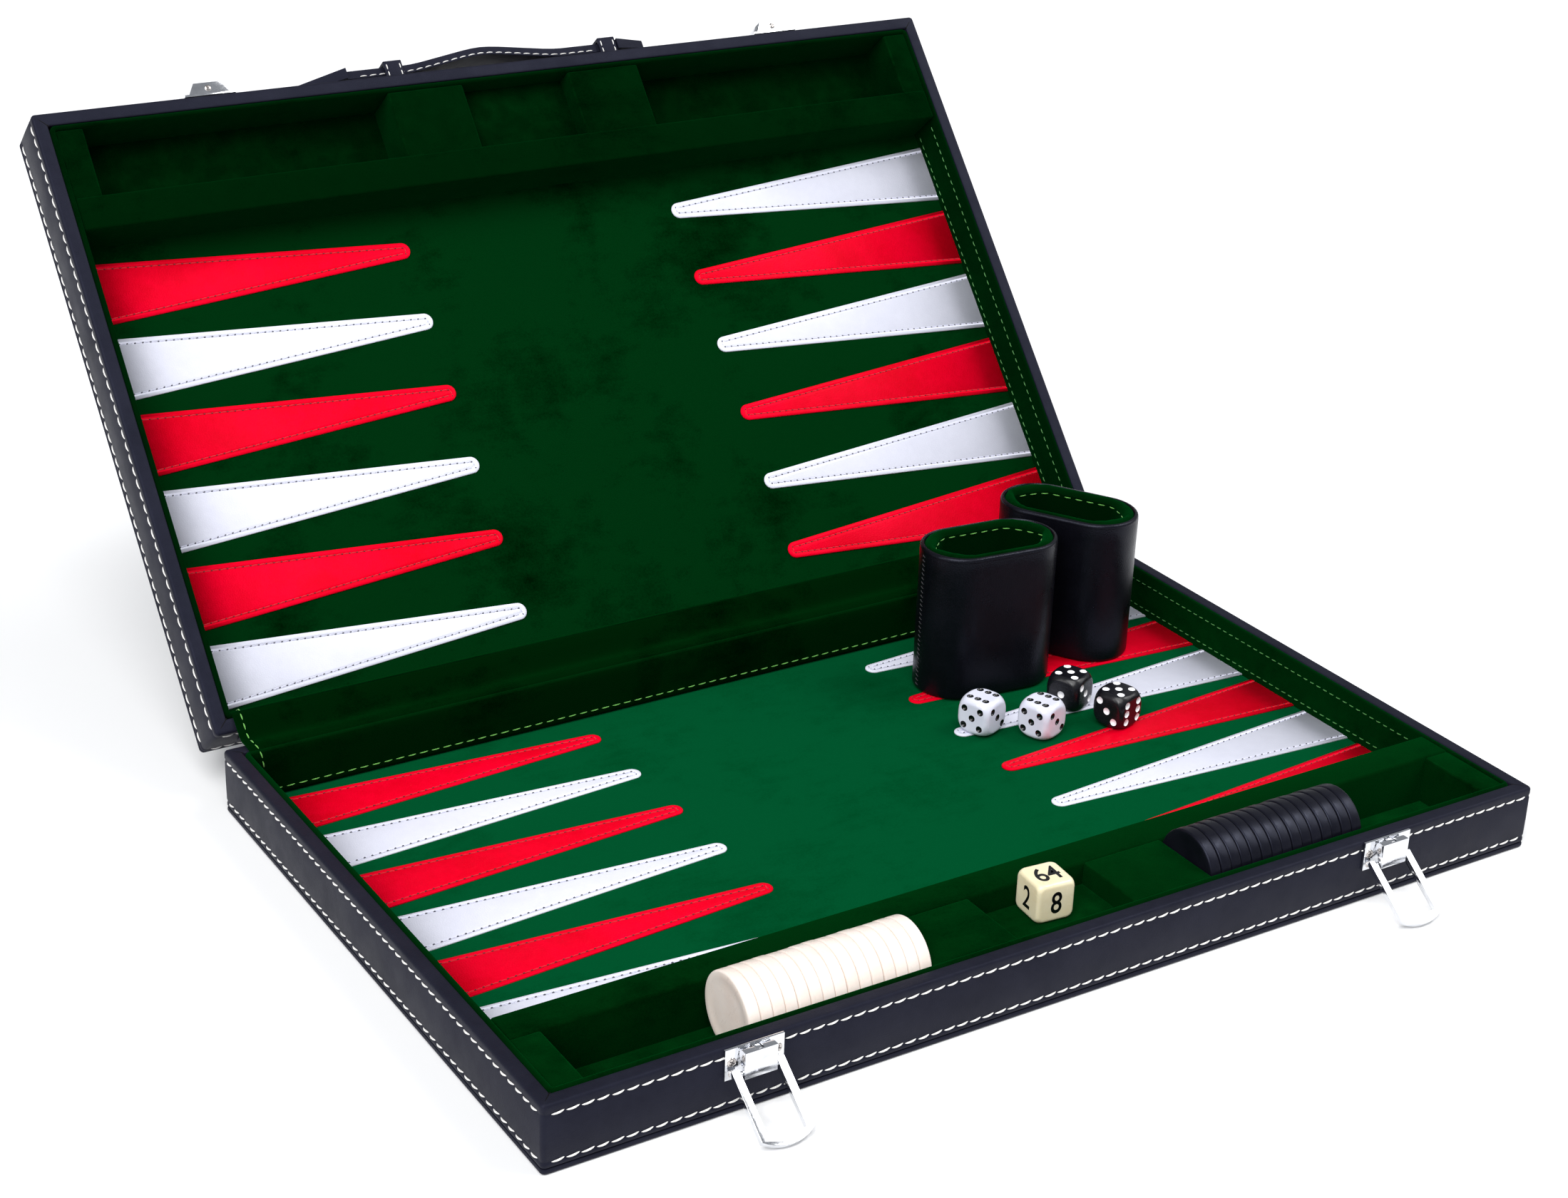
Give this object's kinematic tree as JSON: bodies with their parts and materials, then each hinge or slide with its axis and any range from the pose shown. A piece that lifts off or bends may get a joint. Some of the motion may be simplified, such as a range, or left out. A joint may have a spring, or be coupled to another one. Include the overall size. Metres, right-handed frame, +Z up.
{
  "type": "backgammon set",
  "caption": "folding attache-style backgammon board with velour playing fields, latches and handle, with dice cups, dice, doubling cube and checkers",
  "frame": {"origin": "centre of the base's underside, on the table", "axes": "+X right along the hinge, +Y from the latches back to the hinge, +Z up"},
  "size_m": [0.45, 0.517, 0.2467],
  "materials": {
    "leather": "black grained leatherette with white stitching, satin",
    "velour": "green velour, matt, with red and white leatherette points on the playing fields",
    "chrome": "polished nickel plate",
    "ivory": "polished ivory-white plastic",
    "cream": "polished cream plastic with engraved numerals",
    "jet": "polished black plastic"
  },
  "bodies": {
    "base": {"base_panel": "leather", "base_frame": "leather", "base_liner": "velour", "base_playing_field": "velour", "base_tray_insert": "velour", "hinge_leaf_base": "leather", "latch_plate_left": "chrome", "latch_plate_right": "chrome"},
    "lid": {"lid_panel": "leather", "lid_frame": "leather", "lid_liner": "velour", "lid_playing_field": "velour", "lid_tray_insert": "velour", "hinge_leaf_lid": "leather", "latch_catch_left": "chrome", "latch_catch_right": "chrome", "handle_keeper_left": "leather", "handle_keeper_right": "leather"},
    "handle": {"handle_strap": "leather"},
    "lever_left": {"latch_lever_left": "chrome"},
    "loop_left": {"latch_loop_left": "chrome"},
    "lever_right": {"latch_lever_right": "chrome"},
    "loop_right": {"latch_loop_right": "chrome"},
    "dice_cup_front": {"dice_cup_front": "leather"},
    "dice_cup_rear": {"dice_cup_rear": "leather"},
    "die_white_left": {"die_white_left": "ivory"},
    "die_white_right": {"die_white_right": "ivory"},
    "die_black_rear": {"die_black_rear": "jet"},
    "die_black_front": {"die_black_front": "jet"},
    "doubling_cube": {"doubling_cube": "cream"},
    "checker_white_01": {"checker_white_01": "ivory"},
    "checker_white_02": {"checker_white_02": "ivory"},
    "checker_white_03": {"checker_white_03": "ivory"},
    "checker_white_04": {"checker_white_04": "ivory"},
    "checker_white_05": {"checker_white_05": "ivory"},
    "checker_white_06": {"checker_white_06": "ivory"},
    "checker_white_07": {"checker_white_07": "ivory"},
    "checker_white_08": {"checker_white_08": "ivory"},
    "checker_white_09": {"checker_white_09": "ivory"},
    "checker_white_10": {"checker_white_10": "ivory"},
    "checker_white_11": {"checker_white_11": "ivory"},
    "checker_white_12": {"checker_white_12": "ivory"},
    "checker_white_13": {"checker_white_13": "ivory"},
    "checker_white_14": {"checker_white_14": "ivory"},
    "checker_white_15": {"checker_white_15": "ivory"},
    "checker_black_01": {"checker_black_01": "jet"},
    "checker_black_02": {"checker_black_02": "jet"},
    "checker_black_03": {"checker_black_03": "jet"},
    "checker_black_04": {"checker_black_04": "jet"},
    "checker_black_05": {"checker_black_05": "jet"},
    "checker_black_06": {"checker_black_06": "jet"},
    "checker_black_07": {"checker_black_07": "jet"},
    "checker_black_08": {"checker_black_08": "jet"},
    "checker_black_09": {"checker_black_09": "jet"},
    "checker_black_10": {"checker_black_10": "jet"},
    "checker_black_11": {"checker_black_11": "jet"},
    "checker_black_12": {"checker_black_12": "jet"},
    "checker_black_13": {"checker_black_13": "jet"},
    "checker_black_14": {"checker_black_14": "jet"},
    "checker_black_15": {"checker_black_15": "jet"}
  },
  "joints": [
    {"name": "handle_slide", "type": "slide", "parent": "lid", "child": "handle", "axis": [1, 0, 0], "range_m": [0, 0.018]},
    {"name": "latch_lever_left", "type": "hinge", "parent": "base", "child": "lever_left", "pos_m": [-0.1447, -0.14275, 0.0252], "axis": [-1, 0, 0], "range_deg": [0, 75]},
    {"name": "latch_lever_right", "type": "hinge", "parent": "base", "child": "lever_right", "pos_m": [0.1447, -0.14275, 0.0252], "axis": [-1, 0, 0], "range_deg": [0, 75]},
    {"name": "latch_loop_left", "type": "hinge", "parent": "lever_left", "child": "loop_left", "pos_m": [-0.1447, -0.14315, 0.0181], "axis": [-1, 0, 0], "range_deg": [-50, 100]},
    {"name": "latch_loop_right", "type": "hinge", "parent": "lever_right", "child": "loop_right", "pos_m": [0.1447, -0.14315, 0.0181], "axis": [-1, 0, 0], "range_deg": [-50, 100]},
    {"name": "lid_hinge", "type": "hinge", "parent": "base", "child": "lid", "pos_m": [0, 0.14315, 0.02775], "axis": [-1, 0, 0], "range_deg": [-82, 49.4]},
    {"name": "lift_dice_cup_front", "type": "slide", "parent": "base", "child": "dice_cup_front", "axis": [0, 0, 1], "range_m": [0, 0.08]},
    {"name": "lift_dice_cup_rear", "type": "slide", "parent": "base", "child": "dice_cup_rear", "axis": [0, 0, 1], "range_m": [0, 0.08]},
    {"name": "lift_die_white_left", "type": "slide", "parent": "base", "child": "die_white_left", "axis": [0, 0, 1], "range_m": [0, 0.03]},
    {"name": "lift_die_white_right", "type": "slide", "parent": "base", "child": "die_white_right", "axis": [0, 0, 1], "range_m": [0, 0.03]},
    {"name": "lift_die_black_rear", "type": "slide", "parent": "base", "child": "die_black_rear", "axis": [0, 0, 1], "range_m": [0, 0.03]},
    {"name": "lift_die_black_front", "type": "slide", "parent": "base", "child": "die_black_front", "axis": [0, 0, 1], "range_m": [0, 0.03]},
    {"name": "lift_doubling_cube", "type": "slide", "parent": "base", "child": "doubling_cube", "axis": [0, 0, 1], "range_m": [0, 0.03]},
    {"name": "lift_checker_white_01", "type": "slide", "parent": "base", "child": "checker_white_01", "axis": [0, 0, 1], "range_m": [0, 0.045]},
    {"name": "lift_checker_white_02", "type": "slide", "parent": "base", "child": "checker_white_02", "axis": [0, 0, 1], "range_m": [0, 0.045]},
    {"name": "lift_checker_white_03", "type": "slide", "parent": "base", "child": "checker_white_03", "axis": [0, 0, 1], "range_m": [0, 0.045]},
    {"name": "lift_checker_white_04", "type": "slide", "parent": "base", "child": "checker_white_04", "axis": [0, 0, 1], "range_m": [0, 0.045]},
    {"name": "lift_checker_white_05", "type": "slide", "parent": "base", "child": "checker_white_05", "axis": [0, 0, 1], "range_m": [0, 0.045]},
    {"name": "lift_checker_white_06", "type": "slide", "parent": "base", "child": "checker_white_06", "axis": [0, 0, 1], "range_m": [0, 0.045]},
    {"name": "lift_checker_white_07", "type": "slide", "parent": "base", "child": "checker_white_07", "axis": [0, 0, 1], "range_m": [0, 0.045]},
    {"name": "lift_checker_white_08", "type": "slide", "parent": "base", "child": "checker_white_08", "axis": [0, 0, 1], "range_m": [0, 0.045]},
    {"name": "lift_checker_white_09", "type": "slide", "parent": "base", "child": "checker_white_09", "axis": [0, 0, 1], "range_m": [0, 0.045]},
    {"name": "lift_checker_white_10", "type": "slide", "parent": "base", "child": "checker_white_10", "axis": [0, 0, 1], "range_m": [0, 0.045]},
    {"name": "lift_checker_white_11", "type": "slide", "parent": "base", "child": "checker_white_11", "axis": [0, 0, 1], "range_m": [0, 0.045]},
    {"name": "lift_checker_white_12", "type": "slide", "parent": "base", "child": "checker_white_12", "axis": [0, 0, 1], "range_m": [0, 0.045]},
    {"name": "lift_checker_white_13", "type": "slide", "parent": "base", "child": "checker_white_13", "axis": [0, 0, 1], "range_m": [0, 0.045]},
    {"name": "lift_checker_white_14", "type": "slide", "parent": "base", "child": "checker_white_14", "axis": [0, 0, 1], "range_m": [0, 0.045]},
    {"name": "lift_checker_white_15", "type": "slide", "parent": "base", "child": "checker_white_15", "axis": [0, 0, 1], "range_m": [0, 0.045]},
    {"name": "lift_checker_black_01", "type": "slide", "parent": "base", "child": "checker_black_01", "axis": [0, 0, 1], "range_m": [0, 0.045]},
    {"name": "lift_checker_black_02", "type": "slide", "parent": "base", "child": "checker_black_02", "axis": [0, 0, 1], "range_m": [0, 0.045]},
    {"name": "lift_checker_black_03", "type": "slide", "parent": "base", "child": "checker_black_03", "axis": [0, 0, 1], "range_m": [0, 0.045]},
    {"name": "lift_checker_black_04", "type": "slide", "parent": "base", "child": "checker_black_04", "axis": [0, 0, 1], "range_m": [0, 0.045]},
    {"name": "lift_checker_black_05", "type": "slide", "parent": "base", "child": "checker_black_05", "axis": [0, 0, 1], "range_m": [0, 0.045]},
    {"name": "lift_checker_black_06", "type": "slide", "parent": "base", "child": "checker_black_06", "axis": [0, 0, 1], "range_m": [0, 0.045]},
    {"name": "lift_checker_black_07", "type": "slide", "parent": "base", "child": "checker_black_07", "axis": [0, 0, 1], "range_m": [0, 0.045]},
    {"name": "lift_checker_black_08", "type": "slide", "parent": "base", "child": "checker_black_08", "axis": [0, 0, 1], "range_m": [0, 0.045]},
    {"name": "lift_checker_black_09", "type": "slide", "parent": "base", "child": "checker_black_09", "axis": [0, 0, 1], "range_m": [0, 0.045]},
    {"name": "lift_checker_black_10", "type": "slide", "parent": "base", "child": "checker_black_10", "axis": [0, 0, 1], "range_m": [0, 0.045]},
    {"name": "lift_checker_black_11", "type": "slide", "parent": "base", "child": "checker_black_11", "axis": [0, 0, 1], "range_m": [0, 0.045]},
    {"name": "lift_checker_black_12", "type": "slide", "parent": "base", "child": "checker_black_12", "axis": [0, 0, 1], "range_m": [0, 0.045]},
    {"name": "lift_checker_black_13", "type": "slide", "parent": "base", "child": "checker_black_13", "axis": [0, 0, 1], "range_m": [0, 0.045]},
    {"name": "lift_checker_black_14", "type": "slide", "parent": "base", "child": "checker_black_14", "axis": [0, 0, 1], "range_m": [0, 0.045]},
    {"name": "lift_checker_black_15", "type": "slide", "parent": "base", "child": "checker_black_15", "axis": [0, 0, 1], "range_m": [0, 0.045]}
  ]
}
